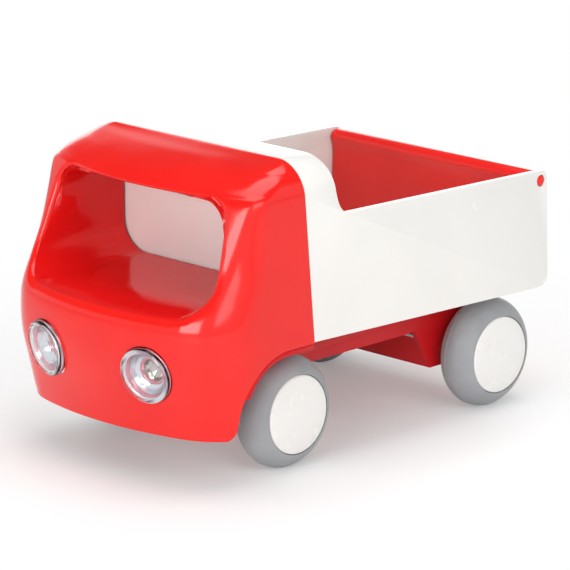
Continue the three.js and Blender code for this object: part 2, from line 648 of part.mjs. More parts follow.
function dumpBed() {
  const low = BED_BOTTOM_FRONT_Z - 20;
  const skin = alongY(bodySection(0, low), SEAM_Y - 20, TAIL_Y + 1);
  const room = alongY(bodySection(WALL, low), SEAM_Y - 20, TAIL_Y + 20);
  const outer = skin.intersect(acrossX(bedProfile(), -100, 100));
  const inner = room.intersect(acrossX(bedRoom(), -100, 100));
  const stopY = GATE_PIVOT_Y - GATE_THICKNESS / 2 - GATE_PANEL_SET - GAP;
  const floorZ = bedBottomZ(stopY) + FLOOR;
  const half = halfWidth(floorZ) - WALL + 0.5;
  const stopOutline = polygon([
    [stopY - STOP_DEPTH, floorZ - 1],
    [stopY - STOP_DEPTH, floorZ],
    [stopY - STOP_DEPTH + STOP_RAMP, floorZ + STOP_HEIGHT],
    [stopY, floorZ + STOP_HEIGHT],
    [stopY, floorZ - 1],
  ]);
  const stop = acrossX(stopOutline, -half, half);
  let bed = join(cut(outer, inner), stop, footStrip(-1, stopY), footStrip(1, stopY));
  const lugTop = bedBottomZ(TIP_PIVOT_Y) + 1;
  for (const s of [-1, 1]) {
    const x0 = Math.min(s * LUG_OUTER_X, s * (LUG_OUTER_X - LUG_WIDTH));
    const x1 = x0 + LUG_WIDTH;
    const outline = new THREE.Shape();
    outline.moveTo(TIP_PIVOT_Y - 12, lugTop);
    outline.lineTo(TIP_PIVOT_Y - LUG_R, TIP_PIVOT_Z);
    outline.absarc(TIP_PIVOT_Y, TIP_PIVOT_Z, LUG_R, Math.PI, 2 * Math.PI, false);
    outline.lineTo(TIP_PIVOT_Y + LUG_R, lugTop);
    outline.closePath();
    bed = join(bed, acrossX(outline, x0, x1, 10));
  }
  const hinge = cylinder("x", HINGE_PIN_R + RUNNING_GAP, 3 * LUG_OUTER_X, [0, TIP_PIVOT_Y, TIP_PIVOT_Z], 20);
  const gateBore = cylinder("x", GATE_PIN_R + RUNNING_GAP, 200, [0, GATE_PIVOT_Y, GATE_PIVOT_Z], 24);
  return cut(bed, hinge, gateBore);
}
add("dump_bed", geometryOf(dumpBed()), white);

const hingePin = new THREE.CylinderGeometry(HINGE_PIN_R, HINGE_PIN_R, 2 * CHASSIS_HALF_WIDTH, 20);
hingePin.rotateZ(-Math.PI / 2);
add("bed_hinge_pin", hingePin, steel).position.set(0, TIP_PIVOT_Y, TIP_PIVOT_Z);

// ---- tailgate: a panel that hangs from a thick roll along its top edge, on a short pin at each end ----

const GATE_SIDE_GAP = 0.6;
const GATE_FLOOR_GAP = 0.8;
const GATE_PIN_DEPTH = 9; // into the roll
const GATE_PIN_STEP = 0.7; // from the pin's wide end to its narrow one

function tailgate() {
  const shape = new THREE.Shape();
  const inner = GATE_PIVOT_Y - GATE_THICKNESS / 2 - GATE_PANEL_SET;
  const outer = inner + GATE_THICKNESS;
  const low = bedBottomZ(GATE_PIVOT_Y) + FLOOR + GATE_FLOOR_GAP;
  shape.moveTo(inner, low);
  shape.lineTo(outer, low);
  shape.lineTo(outer, GATE_PIVOT_Z);
  shape.lineTo(inner, GATE_PIVOT_Z);
  shape.closePath();
  const shapes = join(
    acrossX(shape, -90, 90),
    cylinder("x", GATE_ROLL_R, 180, [0, GATE_PIVOT_Y, GATE_PIVOT_Z], 24),
  );
  const section = bodySection(WALL + GATE_SIDE_GAP, BED_BOTTOM_FRONT_Z - 20);
  const room = alongY(section, GATE_PIVOT_Y - 20, TAIL_Y + 20);
  const socketHalf = halfWidth(GATE_PIVOT_Z) - WALL - GATE_PIN_DEPTH;
  const socketR = GATE_PIN_R - GATE_PIN_STEP + GAP;
  const sockets = [-1, 1].map((s) =>
    cylinder("x", socketR, 40, [s * (socketHalf - GAP + 20), GATE_PIVOT_Y, GATE_PIVOT_Z], 20),
  );
  return cut(shapes.intersect(room), ...sockets);
}
add("tailgate", geometryOf(tailgate()), red);

// Stepped pins: the wide end runs in the bed's side wall, the narrow end is pressed into the roll.
function gatePin(s) {
  const face = halfWidth(GATE_PIVOT_Z) - 0.1;
  const step = face - WALL - 0.2;
  const end = halfWidth(GATE_PIVOT_Z) - WALL - GATE_PIN_DEPTH;
  const profile = [
    [0, end],
    [GATE_PIN_R - GATE_PIN_STEP, end],
    [GATE_PIN_R - GATE_PIN_STEP, step],
    [GATE_PIN_R, step],
    [GATE_PIN_R, face - 0.4],
    [GATE_PIN_R - 0.4, face],
    [0, face],
  ];
  const geometry = latheX(profile, 20);
  if (s < 0) geometry.rotateZ(Math.PI);
  return geometry;
}
for (const [side, s] of [["left", -1], ["right", 1]]) {
  add(`tailgate_pin_${side}`, gatePin(s), red).position.set(0, GATE_PIVOT_Y, GATE_PIVOT_Z);
}

// ---- wheelsets: steel axle, white hub core and cap, soft tyre ----

const HUB_HALF = TYRE_WIDTH / 2 - 1;
const CAP_THICKNESS = 3;
const AXLE_END = TRACK / 2 + HUB_HALF - CAP_THICKNESS - 1;

// Tyre section: round on the inner side, flatter where the outer side runs down to the cap.
const TYRE_FACE_SET = 1.2; // the tyre's face lies this far inside its nominal width, beside the cap
const TYRE_CROWN = 10; // from the tyre's nominal inner face to the middle of its tread
const TYRE_LIP = 1; // step on the inner face

function tyreProfile() {
  const half = TYRE_WIDTH / 2;
  const lip = HUB_FACE_R + GAP;
  const seat = HUB_CORE_R + GAP;
  const rise = WHEEL_R - lip - TYRE_LIP;
  const depth = TYRE_CROWN - TYRE_LIP;
  const profile = [
    [seat, 2 - half],
    [lip + TYRE_LIP, 2 - half],
  ];
  for (let i = 0; i <= 5; i += 1) {
    const a = (Math.PI / 2) * (i / 5);
    profile.push([lip + TYRE_LIP + rise * Math.sin(a), depth * (1 - Math.cos(a)) - half]);
  }
  const outer = new THREE.CubicBezierCurve(
    new THREE.Vector2(WHEEL_R, depth - half),
    new THREE.Vector2(WHEEL_R, depth - half + 4.5),
    new THREE.Vector2(lip + 4.3, half - TYRE_FACE_SET - 1.5),
    new THREE.Vector2(lip, half - TYRE_FACE_SET),
  );
  for (const point of outer.getPoints(6)) profile.push([point.x, point.y]);
  profile.push([lip, half - 4], [seat, half - 4], [seat, 2 - half]);
  return profile;
}

function hubProfile() {
  const boss = 6;
  const bore = AXLE_R + GAP;
  return [
    [bore, -HUB_HALF],
    [boss, -HUB_HALF],
    [boss, HUB_HALF - CAP_THICKNESS - 6],
    [HUB_CORE_R - 3, HUB_HALF - CAP_THICKNESS - 6],
    [HUB_CORE_R - 3, -HUB_HALF + 2],
    [HUB_CORE_R, -HUB_HALF + 2],
    [HUB_CORE_R, HUB_HALF - CAP_THICKNESS - 1],
    [HUB_FACE_R, HUB_HALF - CAP_THICKNESS - 1],
    [HUB_FACE_R, HUB_HALF - CAP_THICKNESS - GAP],
    [bore, HUB_HALF - CAP_THICKNESS - GAP],
    [bore, -HUB_HALF],
  ];
}

function capProfile() {
  const face = HUB_HALF + 0.4;
  return [
    [0, HUB_HALF - CAP_THICKNESS],
    [HUB_FACE_R, HUB_HALF - CAP_THICKNESS],
    [HUB_FACE_R, face - 0.7],
    [HUB_FACE_R - 0.7, face],
    [HUB_FACE_R - 2.4, face + 0.25],
    [HUB_FACE_R - 9, face + 0.6],
    [0, face + 0.8],
  ];
}

for (const [end, y] of [["front", FRONT_AXLE_Y], ["rear", REAR_AXLE_Y]]) {
  const axle = new THREE.CylinderGeometry(AXLE_R, AXLE_R, 2 * AXLE_END, 20);
  axle.rotateZ(-Math.PI / 2);
  const wheelset = new THREE.Group();
  wheelset.position.set(0, y, WHEEL_R);
  truck.add(wheelset);
  add(`${end}_axle`, axle, steel, wheelset);
  for (const [side, s] of [["left", -1], ["right", 1]]) {
    const wheel = new THREE.Group();
    wheel.position.set((s * TRACK) / 2, 0, 0);
    if (s < 0) wheel.rotation.z = Math.PI;
    wheelset.add(wheel);
    add(`${end}_${side}_tyre`, latheX(tyreProfile(), 30), grey, wheel);
    add(`${end}_${side}_hub`, latheX(hubProfile(), 24), white, wheel);
    add(`${end}_${side}_hub_cap`, latheX(capProfile(), 24), white, wheel);
  }
}

// ---- headlamps: a clear lens in front of a plated reflector cup ----

function lensProfile() {
  const back = 1 - LAMP_LENS_THICKNESS;
  return [
    [0, back],
    [LAMP_R, back],
    [LAMP_R, -0.6],
    [LAMP_R - 0.8, 0],
    [LAMP_R * 0.6, 0.6],
    [0, 1],
  ];
}

function reflectorProfile() {
  const front = 1 - LAMP_LENS_THICKNESS - GAP;
  const back = front - LAMP_REFLECTOR_DEPTH;
  return [
    [0, back],
    [6, back],
    [LAMP_R - 1.5, front - 5],
    [LAMP_R - 1.5, front - 1.5],
    [LAMP_R, front - 1.5],
    [LAMP_R, front],
    [LAMP_R - 2, front],
    [LAMP_R - 3, front - 4.5],
    [LAMP_R - 6.2, front - 8],
    [LAMP_R - 7.4, front - 8],
    [4.5, back + 1.5],
    [0, back + 1.5],
  ];
}

for (const [side, s] of [["left", -1], ["right", 1]]) {
  add(`headlamp_lens_${side}`, turned(lensProfile(), 28).applyMatrix4(lampMatrix(s)), clear);
  add(`headlamp_reflector_${side}`, turned(reflectorProfile(), 24).applyMatrix4(lampMatrix(s)), chrome);
}

// ---- screws: pan heads below, shanks up into the bosses ----

const SCREW_HEAD = 2;
function screw(shank) {
  const profile = [
    [0, -SCREW_HEAD],
    [SCREW_HEAD_R - 0.8, -SCREW_HEAD],
    [SCREW_HEAD_R, -SCREW_HEAD + 0.8],
    [SCREW_HEAD_R, 0],
    [SCREW_R, 0],
    [SCREW_R, shank - 1],
    [0, shank],
  ];
  return turned(profile, 12);
}

let cabScrew = 0;
for (const y of CAB_SCREW_YS) {
  for (const x of [-CAB_SCREW_X, CAB_SCREW_X]) {
    cabScrew += 1;
    const seat = CHASSIS_TOP_Z - WALL - GAP;
    add(`cab_screw_${cabScrew}`, screw(WALL + GAP + SCREW_BITE), steel).position.set(x, y, seat);
  }
}
for (const [end, y] of COVER_SCREWS) {
  for (const [side, x] of [["left", -COVER_SCREW_X], ["right", COVER_SCREW_X]]) {
    const seat = COVER_TOP_Z - COVER_THICKNESS - GAP;
    const mesh = add(`${end}_cover_screw_${side}`, screw(COVER_THICKNESS + GAP + SCREW_BITE), steel);
    mesh.position.set(x, y, seat);
  }
}

export default truck;
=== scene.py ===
import math

import bpy
from mathutils import Matrix, Vector


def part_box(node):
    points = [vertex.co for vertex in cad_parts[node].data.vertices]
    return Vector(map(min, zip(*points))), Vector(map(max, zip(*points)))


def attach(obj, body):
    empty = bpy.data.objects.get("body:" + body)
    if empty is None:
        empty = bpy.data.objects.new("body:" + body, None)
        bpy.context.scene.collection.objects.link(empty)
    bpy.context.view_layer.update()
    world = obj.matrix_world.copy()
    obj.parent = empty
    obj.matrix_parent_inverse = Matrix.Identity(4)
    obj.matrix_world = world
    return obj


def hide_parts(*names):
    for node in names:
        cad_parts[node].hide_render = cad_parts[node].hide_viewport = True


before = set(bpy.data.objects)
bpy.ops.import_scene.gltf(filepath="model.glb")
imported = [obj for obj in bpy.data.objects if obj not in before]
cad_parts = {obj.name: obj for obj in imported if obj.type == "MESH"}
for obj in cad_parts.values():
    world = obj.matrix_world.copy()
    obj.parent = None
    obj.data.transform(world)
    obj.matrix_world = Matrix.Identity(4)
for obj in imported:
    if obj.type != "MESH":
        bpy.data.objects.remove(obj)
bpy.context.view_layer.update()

bpy.ops.object.select_all(action="DESELECT")

# ---- cab shell ----
# The truck's face: nose, sides and roof in one thin-walled moulding of glossy red ABS, injection moulded
# in a two-part tool and polished. It is open behind and below. The windscreen is a real opening with a
# fat rolled lip, and there is a round seat for each headlamp.

mm = 0.001
cab_low, cab_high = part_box("cab_shell")
nose = cab_low.y
ground_to_roof = cab_high.z
front_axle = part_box("front_axle")[0].lerp(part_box("front_axle")[1], 0.5)
shell_wall = 3 * mm
seat_gap = 0.3 * mm
roof_round = 17 * mm
nose_bow = 185 * mm
seam_behind_axle, seam_height, seam_lean = 3.2 * mm, 67.8 * mm, 0.058
half_width, half_width_height, side_lean = 73.9 * mm, 126 * mm, 0.033
tuck_top, tuck_height, tuck_depth = 44 * mm, 19 * mm, 3.3 * mm
sill_corner, glass_corner_loss, brow_corner_gain = 33, 22, 8
corner_share, bow_share = 0.6, 0.9
windscreen_sill = 86 * mm
windscreen_lintel = 141 * mm
glass_low_half, glass_top_half = 64, 56.5
tunnel_low_half, tunnel_top_half = 55, 52.5
tunnel_rise, tunnel_drop = 5 * mm, 4 * mm
low_round, high_round = 15 * mm, 12 * mm
lip_round = 4.2 * mm

# Heights of the front face and how far it lies behind the nose there.
front_face = [(25, 9.1), (40, 6.3), (58, 1.3), (72, 0), (84, 1.3), (96, 8.2), (110, 16.3), (126, 22.8),
              (140, 27.9), (144, 32.3), (147.5, 37.5), (150.8, 45.5), (153.4, 56), (155, 66), (156, 72)]


def smooth_line(points, steps):
    """Points along a Catmull-Rom curve through the given ones, `steps` to a span."""
    found = []
    for i in range(len(points) - 1):
        a, b = points[max(i - 1, 0)], points[i]
        c, d = points[i + 1], points[min(i + 2, len(points) - 1)]
        for s in range(steps):
            t = s / steps
            found.append(tuple(
                q + 0.5 * t * ((r - p) + t * ((2 * p - 5 * q + 4 * r - u) + t * (3 * (q - r) + u - p)))
                for p, q, r, u in zip(a, b, c, d)))
    return found + [points[-1]]


front_line = [(z * mm, nose + y * mm) for z, y in smooth_line(front_face, 16)]


def front_y(z):
    """Where the front face stands in the truck's middle plane at height z."""
    if z <= front_line[0][0]:
        return front_line[0][1]
    for (z0, y0), (z1, y1) in zip(front_line, front_line[1:]):
        if z <= z1:
            return y0 + (y1 - y0) * (z - z0) / (z1 - z0)
    return front_line[-1][1]


def seam_y(z):
    """The plane where the cab ends and the bed begins, which leans a little forward."""
    return front_axle.y + seam_behind_axle - seam_lean * (z - seam_height)


def side_x(z):
    """Half the body's width at height z, before the roof's rounding."""
    return half_width + side_lean * (half_width_height - z)


def cab_section(z):
    """Half width, corner radius, corner centre and bow centre of the cab's plan at height z, and how much
    the bow is flattened there, which it is where the roof runs out short against the bed."""
    rise = z - (ground_to_roof - roof_round)
    drawn = roof_round - math.sqrt(max(0, roof_round ** 2 - max(0, rise) ** 2))
    tuck = tuck_depth * (max(0, tuck_top - z) / tuck_height) ** 2
    half = side_x(z) - drawn - tuck
    up_glass = min(1, max(0, (z - windscreen_sill) / (windscreen_lintel - windscreen_sill)))
    up_brow = max(0, (z - windscreen_lintel) / (ground_to_roof - windscreen_lintel))
    corner = (sill_corner - glass_corner_loss * up_glass + brow_corner_gain * up_brow) * mm
    corner = min(corner, corner_share * (seam_y(z) - front_y(z)))
    centre_y = front_y(z) + nose_bow
    corner_x = half - corner
    corner_y = centre_y - math.sqrt((nose_bow - corner) ** 2 - corner_x ** 2)
    flatten = min(1, bow_share * (seam_y(z) - front_y(z)) / (corner_y - front_y(z)))
    return half, corner, corner_x, corner_y, centre_y, flatten


def cab_ring(z, inset=0.0, bow_steps=20, corner_steps=14, side_steps=16):
    """The cab's plan outline at height z, from its back left edge round the nose to its back right edge."""
    half, corner, corner_x, corner_y, centre_y, flatten = cab_section(z)
    sweep = math.atan2(corner_x, centre_y - corner_y)
    right = []
    for i in range(bow_steps + 1):
        a = sweep * i / bow_steps
        right.append(((nose_bow - inset) * math.sin(a), centre_y - (nose_bow - inset) * math.cos(a)))
    for i in range(1, corner_steps + 1):
        a = sweep + (math.pi / 2 - sweep) * i / corner_steps
        right.append((corner_x + (corner - inset) * math.sin(a), corner_y - (corner - inset) * math.cos(a)))
    right = [(x, front_y(z) + (y - front_y(z)) * flatten) for x, y in right]
    corner_end = right[-1][1]
    for i in range(1, side_steps + 1):
        right.append((half - inset, corner_end + (seam_y(z) - corner_end) * i / side_steps))
    left = [(-x, y) for x, y in reversed(right[1:])]
    return [Vector((x, y, z)) for x, y in left + right]


def skin_y(x, z):
    """The front skin's y at a point of the front view."""
    half, corner, corner_x, corner_y, centre_y, flatten = cab_section(z)
    x = min(abs(x), half)
    bow_end = corner_x * nose_bow / (nose_bow - corner)
    if x <= bow_end:
        return centre_y - math.sqrt(nose_bow ** 2 - x * x)
    return corner_y - math.sqrt(max(0, corner ** 2 - (x - corner_x) ** 2))


def ring_stack(name, rings):
    """A skin through rings of points: a circle of vertices, extruded once for each further ring."""
    bpy.ops.object.select_all(action="DESELECT")
    bpy.ops.mesh.primitive_circle_add(vertices=len(rings[0]))
    piece = bpy.context.object
    piece.name = piece.data.name = name
    for vertex, point in zip(piece.data.vertices, rings[0]):
        vertex.co = point
    bpy.ops.object.mode_set(mode="EDIT")
    bpy.ops.mesh.select_all(action="SELECT")
    for _ in rings[1:]:
        bpy.ops.mesh.extrude_edges_move()
    bpy.ops.object.mode_set(mode="OBJECT")
    count = len(rings[0])
    for level, ring in enumerate(rings):
        for i, point in enumerate(ring):
            piece.data.vertices[level * count + i].co = point
    return piece


def edit(piece, operator, **settings):
    """Runs one mesh operator on the faces, edges and points that are selected on the piece."""
    bpy.ops.object.select_all(action="DESELECT")
    bpy.context.view_layer.objects.active = piece
    piece.select_set(True)
    bpy.ops.object.mode_set(mode="EDIT")
    operator(**settings)
    bpy.ops.object.mode_set(mode="OBJECT")


def pick(piece, mode, wanted):
    """Selects the points, edges or faces that `wanted` accepts, and nothing else."""
    bpy.ops.object.select_all(action="DESELECT")
    bpy.context.view_layer.objects.active = piece
    piece.select_set(True)
    bpy.ops.object.mode_set(mode="EDIT")
    bpy.ops.mesh.select_mode(type=mode)
    bpy.ops.mesh.select_all(action="DESELECT")
    bpy.ops.object.mode_set(mode="OBJECT")
    parts = {"VERT": piece.data.vertices, "EDGE": piece.data.edges, "FACE": piece.data.polygons}[mode]
    for part in parts:
        part.select = wanted(part)


def all_of(piece):
    pick(piece, "VERT", lambda point: True)


def finish_with(piece, kind, **settings):
    """Adds one modifier to the piece and applies it."""
    modifier = piece.modifiers.new(kind.title(), kind)
    for key, value in settings.items():
        setattr(modifier, key, value)
    bpy.ops.object.select_all(action="DESELECT")
    bpy.context.view_layer.objects.active = piece
    piece.select_set(True)
    bpy.ops.object.modifier_apply(modifier=modifier.name)


def carve(piece, tool, operation="DIFFERENCE"):
    """Cuts the tool out of the piece, or joins it on, and throws the tool away."""
    finish_with(piece, "BOOLEAN", object=tool, operation=operation, solver="EXACT")
    bpy.data.objects.remove(tool)


def outward(piece):
    all_of(piece)
    edit(piece, bpy.ops.mesh.normals_make_consistent, inside=False)


def close_ends(piece, count):
    """Caps the first and the last ring of a ring stack of `count` points each."""
    total = len(piece.data.vertices)
    for low, high in ((0, count), (total - count, total)):
        pick(piece, "VERT", lambda point: low <= point.index < high)
        edit(piece, bpy.ops.mesh.edge_face_add)
    outward(piece)


def smooth(piece, degrees=34):
    bpy.ops.object.select_all(action="DESELECT")
    bpy.context.view_layer.objects.active = piece
    piece.select_set(True)
    bpy.ops.object.shade_smooth_by_angle(angle=math.radians(degrees))


def windscreen_ring(y_at, grow=0.0, back=0.0, flat_parts=17, side_parts=12, corner_parts=12):
    """The outline of the windscreen, or of the tunnel behind it where `back` is above 0, in front view and
    `grow` outside the clear opening."""
    low = windscreen_sill + tunnel_rise * back
    high = windscreen_lintel - tunnel_drop * back
    top_half = (glass_top_half + (tunnel_top_half - glass_top_half) * back) * mm
    low_half = (glass_low_half + (tunnel_low_half - glass_low_half) * back) * mm
    lean = math.atan2(low_half - top_half, high - low)
    low_sweep, high_sweep = math.pi / 2 + lean, math.pi / 2 - lean
    low_x = low_half - low_round * math.tan(low_sweep / 2)
    high_x = top_half - high_round * math.tan(high_sweep / 2)
    corners = [
        (low_x, low + low_round, low_round, -math.pi / 2, low_sweep),
        (high_x, high - high_round, high_round, lean, high_sweep),
    ]
    right = []
    for i in range(1, flat_parts):
        right.append((low_x * i / flat_parts, low - grow))
    for x, z, radius, start, sweep in corners:
        for i in range(corner_parts + 1):
            a = start + sweep * i / corner_parts
            right.append((x + (radius + grow) * math.cos(a), z + (radius + grow) * math.sin(a)))
        if z < high - high_round:
            (x0, z0), x1, z1 = right[-1], high_x, high - high_round
            x1, z1 = x1 + (high_round + grow) * math.cos(lean), z1 + (high_round + grow) * math.sin(lean)
            right += [(x0 + (x1 - x0) * i / side_parts, z0 + (z1 - z0) * i / side_parts)
                      for i in range(1, side_parts)]
    for i in range(1, flat_parts):
        right.append((high_x * (flat_parts - i) / flat_parts, high + grow))
    outline = [(0, low - grow)] + right + [(0, high + grow)] + [(-x, z) for x, z in reversed(right)]
    return [Vector((x, y_at(x, z), z)) for x, z in outline]


roof_start = ground_to_roof - roof_round
levels = [z for z, _ in front_line if z < roof_start][::4]
levels += [z for z, _ in front_line if roof_start <= z][::2]
if levels[-1] < ground_to_roof - 0.01 * mm:
    levels.append(ground_to_roof)


def shell_form(name, inset, behind, below):
    """The cab's outer form, `inset` inside its skin, and carried on behind and below by so much."""
    rings = []
    for z in levels:
        in_roof = max(0, z - ground_to_roof + roof_round) / roof_round
        ring = cab_ring(z, inset)
        for point in ring:
            point.z -= inset * in_roof
        ring[0].y += behind
        ring[-1].y += behind
        rings.append(ring)
    first = [point.copy() for point in rings[0]]
    for point in first:
        point.z -= below
    if below:
        rings.insert(0, first)
    form = ring_stack(name, rings)
    close_ends(form, len(first))
    return form


shell = shell_form("cab_shell_moulding", 0, 0, 0)
carve(shell, shell_form("cab_room", shell_wall, 30 * mm, 30 * mm))

lip_steps, lip_turn = 9, math.radians(84)
lip = [windscreen_ring(lambda x, z: nose - 10 * mm, lip_round)]
for i in range(lip_steps, -1, -1):
    a = lip_turn * i / lip_steps
    lip.append(windscreen_ring(
        lambda x, z: skin_y(x, z) + lip_round * (1 - math.sin(a)), lip_round * (1 - math.cos(a))))
lip.append(windscreen_ring(lambda x, z: front_axle.y - 15 * mm))
lip_tool = ring_stack("lip_tool", lip)
close_ends(lip_tool, len(lip[0]))
carve(shell, lip_tool)


def arch_outline(curve_steps=20, turn_steps=8):
    """The front wheel arch's edge in side view, as (y, z)."""
    top_z = 65.5 * mm
    edge_y = front_axle.y - 45.2 * mm
    outline = [(front_axle.y + 33 * mm, 0), (front_axle.y + 33 * mm, top_z)]
    curve = [(front_axle.y - 14 * mm, top_z), (front_axle.y - 27 * mm, top_z),
             (edge_y, 56 * mm), (edge_y, 36 * mm)]
    for i in range(curve_steps + 1):
        t = i / curve_steps
        weights = ((1 - t) ** 3, 3 * t * (1 - t) ** 2, 3 * t * t * (1 - t), t ** 3)
        outline.append(tuple(sum(w * p[k] for w, p in zip(weights, curve)) for k in (0, 1)))
    for i in range(turn_steps + 1):
        t = i / turn_steps
        weights = ((1 - t) ** 2, 2 * t * (1 - t), t * t)
        turn = [(edge_y, 31 * mm), (edge_y, 25 * mm), (edge_y - 6 * mm, 24 * mm)]
        outline.append(tuple(sum(w * p[k] for w, p in zip(weights, turn)) for k in (0, 1)))
    return outline + [(edge_y - 6 * mm, 0)]


for side in (-1, 1):
    outline = arch_outline()
    rings = [[Vector((side * x, y, z)) for y, z in outline] for x in (50 * mm, 90 * mm)]
    arch_tool = ring_stack("arch_tool", rings)
    close_ends(arch_tool, len(outline))
    carve(shell, arch_tool)

lamp_height, lamp_offset, lamp_proud, lamp_seat_radius = 56.8 * mm, 35.2 * mm, 2.3 * mm, 14.75 * mm
yaw, pitch = math.radians(10.5), math.radians(10)
lamps = {}
for side, label in ((-1, "left"), (1, "right")):
    out = Vector((side * math.sin(yaw), -math.cos(yaw) * math.cos(pitch), -math.sin(pitch))).normalized()
    across = Vector((0, 0, 1)).cross(out).normalized()
    lamp_x = side * lamp_offset
    seat = Vector((lamp_x, skin_y(lamp_x, lamp_height), lamp_height)) + lamp_proud * out
    lamps[label] = Matrix.Translation(seat) @ Matrix((across, out.cross(across), out)).transposed().to_4x4()
    bpy.ops.mesh.primitive_cylinder_add(vertices=72, radius=lamp_seat_radius, depth=40 * mm)
    seat_tool = bpy.context.object
    seat_tool.data.transform(lamps[label])
    carve(shell, seat_tool)

all_of(shell)
edit(shell, bpy.ops.mesh.dissolve_degenerate, threshold=0.004 * mm)
smooth(shell, 30)


def painted(name, colour, roughness, **sockets):
    """A new node material whose shader starts from these values."""
    material = bpy.data.materials.new(name)
    material.use_nodes = True
    shader = material.node_tree.nodes["Principled BSDF"]
    shader.inputs["Base Color"].default_value = (*colour, 1)
    shader.inputs["Roughness"].default_value = roughness
    for key, value in sockets.items():
        shader.inputs[key.replace("_", " ")].default_value = value
    return material, material.node_tree, shader


def noise(tree, scale, detail=3.0, rough=0.5, stretch=None):
    """A noise texture on the piece's own place in the truck, in features per metre."""
    where = tree.nodes.new("ShaderNodeTexCoord")
    texture = tree.nodes.new("ShaderNodeTexNoise")
    texture.inputs["Scale"].default_value = scale
    texture.inputs["Detail"].default_value = detail
    texture.inputs["Roughness"].default_value = rough
    if stretch:
        mapping = tree.nodes.new("ShaderNodeMapping")
        mapping.inputs["Scale"].default_value = stretch
        tree.links.new(where.outputs["Object"], mapping.inputs["Vector"])
        tree.links.new(mapping.outputs["Vector"], texture.inputs["Vector"])
    else:
        tree.links.new(where.outputs["Object"], texture.inputs["Vector"])
    return texture.outputs["Fac"]


def ramp(tree, value, low, high, start=0.0, end=1.0):
    """Carries a value from one range to another, and no further."""
    node = tree.nodes.new("ShaderNodeMapRange")
    for key, number in (("From Min", low), ("From Max", high), ("To Min", start), ("To Max", end)):
        node.inputs[key].default_value = number
    tree.links.new(value, node.inputs["Value"])
    return node.outputs["Result"]


def blend_colours(tree, share, first, second):
    node = tree.nodes.new("ShaderNodeMix")
    node.data_type = "RGBA"
    node.inputs[6].default_value = (*first, 1)
    node.inputs[7].default_value = (*second, 1)
    tree.links.new(share, node.inputs["Factor"])
    return node.outputs[2]


def relief(tree, shader, *layers):
    """Bumps laid one over another, each a height with its depth in metres."""
    below = None
    for height, depth in layers:
        bump = tree.nodes.new("ShaderNodeBump")
        bump.inputs["Distance"].default_value = depth
        bump.inputs["Strength"].default_value = 1.0
        tree.links.new(height, bump.inputs["Height"])
        if below:
            tree.links.new(below, bump.inputs["Normal"])
        below = bump.outputs["Normal"]
    tree.links.new(below, shader.inputs["Normal"])


def glossy_abs(name, colour, deeper, roughness, shine=0.5):
    """Polished ABS: slow flow clouding in the colour, faint handling haze, and sink, orange peel and fine
    scuffs in the gloss."""
    material, tree, shader = painted(name, colour, roughness, IOR=1.46, Specular_IOR_Level=shine)
    cloud = ramp(tree, noise(tree, 22, 2), 0.35, 0.65)
    tree.links.new(blend_colours(tree, cloud, colour, deeper), shader.inputs["Base Color"])
    haze = ramp(tree, noise(tree, 60, 5, 0.6), 0.42, 0.75, roughness, roughness + 0.08)
    tree.links.new(haze, shader.inputs["Roughness"])
    scuffs = noise(tree, 700, 2, 0.5, stretch=(1, 0.12, 0.6))
    sink, peel = noise(tree, 35, 1), noise(tree, 420, 2)
    relief(tree, shader, (sink, 0.10 * mm), (peel, 0.0035 * mm), (scuffs, 0.002 * mm))
    return material


cab_red = glossy_abs("cab_red_abs", (0.80, 0.012, 0.008), (0.75, 0.010, 0.007), 0.12)
shell.data.materials.append(cab_red)
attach(shell, "chassis_body")
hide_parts("cab_shell")

# ---- cab liner ----
# The hand tunnel behind the windscreen, with the bulkhead that closes the cab's back and four screw
# bosses below. It is a second red ABS moulding, screwed up against the chassis with the shell round it,
# so a fine parting step shows all the way round, just inside the windscreen's lip.

liner_wall = 2.4 * mm
tube_clearance = 0.05 * mm


def liner_front(x, z):
    return skin_y(x, z) + shell_wall + seat_gap


tunnel = []
for y_at, grow, back in (
    (liner_front, 0.25 * mm, 0.0),
    (lambda x, z: liner_front(x, z) + 0.25 * mm, 0.0, 0.02),
    (lambda x, z: front_axle.y - 40 * mm, 0.0, 0.3),
    (lambda x, z: front_axle.y - 28 * mm, 0.0, 0.5),
    (lambda x, z: front_axle.y - 12 * mm, 0.0, 0.8),
    (lambda x, z: seam_y(z) - seat_gap - 0.8 * mm, 0.0, 0.99),
    (lambda x, z: seam_y(z) - seat_gap, 0.8 * mm, 1.0),
    (lambda x, z: seam_y(z) - seat_gap, liner_wall, 1.0),
    (lambda x, z: front_axle.y - 12 * mm, liner_wall, 0.8),
    (lambda x, z: front_axle.y - 28 * mm, liner_wall, 0.5),
    (lambda x, z: front_axle.y - 40 * mm, liner_wall, 0.3),
    (liner_front, liner_wall, 0.0),
):
    tunnel.append(windscreen_ring(y_at, grow, back))
liner = ring_stack("cab_liner_moulding", tunnel + [tunnel[0]])
all_of(liner)
edit(liner, bpy.ops.mesh.remove_doubles, threshold=0.001 * mm)
outward(liner)
smooth(liner, 40)

